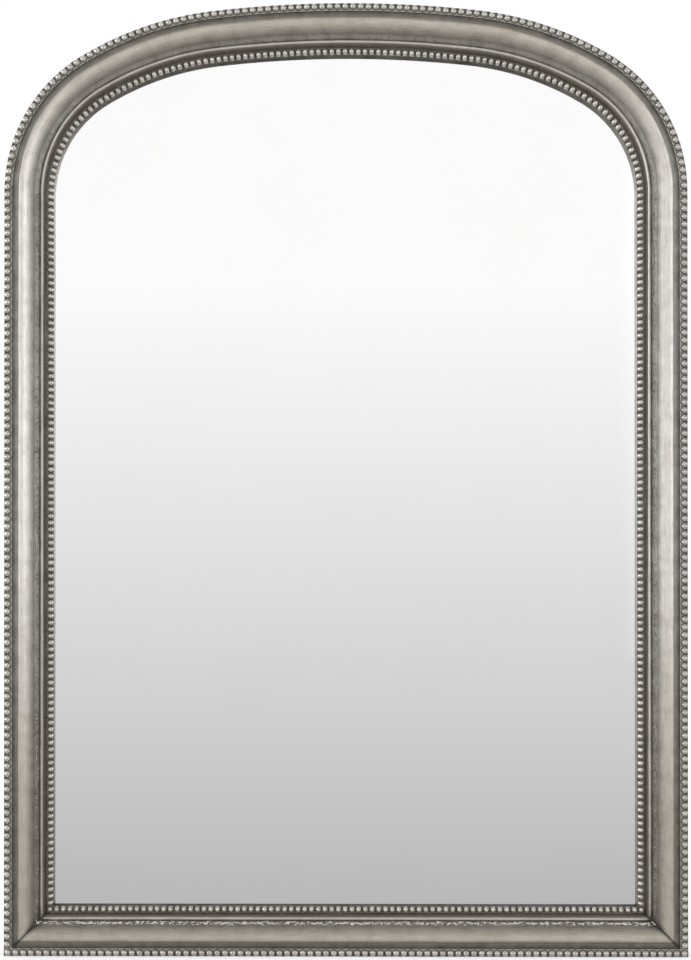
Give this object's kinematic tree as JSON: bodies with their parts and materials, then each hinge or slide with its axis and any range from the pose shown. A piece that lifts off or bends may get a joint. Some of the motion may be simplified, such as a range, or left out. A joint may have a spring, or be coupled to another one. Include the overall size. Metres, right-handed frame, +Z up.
{
  "type": "overmantel mirror",
  "caption": "Tall overmantel mirror with an arched top, a silvered moulded frame edged with beading inside and out, a plain plate, a clipped back and strap hangers.",
  "frame": {"origin": "middle of the flat underside of the bottom rail, where the frame stands on a shelf", "axes": "+Z up; the mirror faces -Y, so +Y is towards the wall; +X is to the right seen from the front"},
  "size_m": [0.86, 0.0442, 1.2],
  "materials": {
    "silvered_moulding": "antiqued silver leaf over gesso, dark glaze in the hollows, bare wood at the back",
    "silvered_beading": "antiqued silver leaf, dark glaze between the beads",
    "mirror_plate": "silvered float glass",
    "hardboard": "raw hardboard",
    "joinery_wood": "bare beech",
    "block_rubber": "plain",
    "button_steel": "zinc plated",
    "screw_steel": "zinc plated",
    "hanger_steel": "nickel plated",
    "bumper_rubber": "matt"
  },
  "bodies": {
    "frame": {"left_stile": "silvered_moulding", "right_stile": "silvered_moulding", "bottom_rail": "silvered_moulding", "arch_left_shoulder": "silvered_moulding", "arch_crown": "silvered_moulding", "arch_right_shoulder": "silvered_moulding", "outer_bead_left": "silvered_beading", "outer_bead_right": "silvered_beading", "outer_bead_arch": "silvered_beading", "outer_bead_bottom": "silvered_beading", "inner_bead_left": "silvered_beading", "inner_bead_right": "silvered_beading", "inner_bead_arch": "silvered_beading", "inner_bead_bottom": "silvered_beading", "mirror_glass": "mirror_plate", "backing_board": "hardboard", "setting_blocks": "block_rubber", "left_mitre_key": "joinery_wood", "right_mitre_key": "joinery_wood", "arch_dowels": "joinery_wood", "turn_button_screws": "screw_steel", "hanger_screws": "screw_steel", "left_hanger_strap": "hanger_steel", "right_hanger_strap": "hanger_steel", "wall_bumpers": "bumper_rubber"},
    "left_ring": {"left_d_ring": "hanger_steel"},
    "right_ring": {"right_d_ring": "hanger_steel"},
    "button_01": {"turn_button_01": "button_steel"},
    "button_02": {"turn_button_02": "button_steel"},
    "button_03": {"turn_button_03": "button_steel"},
    "button_04": {"turn_button_04": "button_steel"},
    "button_05": {"turn_button_05": "button_steel"},
    "button_06": {"turn_button_06": "button_steel"},
    "button_07": {"turn_button_07": "button_steel"},
    "button_08": {"turn_button_08": "button_steel"},
    "button_09": {"turn_button_09": "button_steel"},
    "button_10": {"turn_button_10": "button_steel"}
  },
  "joints": [
    {"name": "left_ring_swing", "type": "hinge", "parent": "frame", "child": "left_ring", "pos_m": [-0.4044, 0.0185, 0.86251], "axis": [1, 0, 0], "range_deg": [0, 180]},
    {"name": "right_ring_swing", "type": "hinge", "parent": "frame", "child": "right_ring", "pos_m": [0.4044, 0.0185, 0.86251], "axis": [1, 0, 0], "range_deg": [0, 180]},
    {"name": "button_01_turn", "type": "hinge", "parent": "frame", "child": "button_01", "pos_m": [-0.3858, 0.0155, 0.17], "axis": [0, 1, 0], "continuous": true},
    {"name": "button_02_turn", "type": "hinge", "parent": "frame", "child": "button_02", "pos_m": [-0.3858, 0.0155, 0.476], "axis": [0, 1, 0], "continuous": true},
    {"name": "button_03_turn", "type": "hinge", "parent": "frame", "child": "button_03", "pos_m": [-0.3858, 0.0155, 0.78201], "axis": [0, 1, 0], "continuous": true},
    {"name": "button_04_turn", "type": "hinge", "parent": "frame", "child": "button_04", "pos_m": [0.3858, 0.0155, 0.17], "axis": [0, 1, 0], "continuous": true},
    {"name": "button_05_turn", "type": "hinge", "parent": "frame", "child": "button_05", "pos_m": [0.3858, 0.0155, 0.476], "axis": [0, 1, 0], "continuous": true},
    {"name": "button_06_turn", "type": "hinge", "parent": "frame", "child": "button_06", "pos_m": [0.3858, 0.0155, 0.78201], "axis": [0, 1, 0], "continuous": true},
    {"name": "button_07_turn", "type": "hinge", "parent": "frame", "child": "button_07", "pos_m": [-0.2, 0.0155, 0.0442], "axis": [0, 1, 0], "continuous": true},
    {"name": "button_08_turn", "type": "hinge", "parent": "frame", "child": "button_08", "pos_m": [0.2, 0.0155, 0.0442], "axis": [0, 1, 0], "continuous": true},
    {"name": "button_09_turn", "type": "hinge", "parent": "frame", "child": "button_09", "pos_m": [-0.23796, 0.0155, 1.12953], "axis": [0, 1, 0], "continuous": true},
    {"name": "button_10_turn", "type": "hinge", "parent": "frame", "child": "button_10", "pos_m": [0.23796, 0.0155, 1.12953], "axis": [0, 1, 0], "continuous": true}
  ]
}
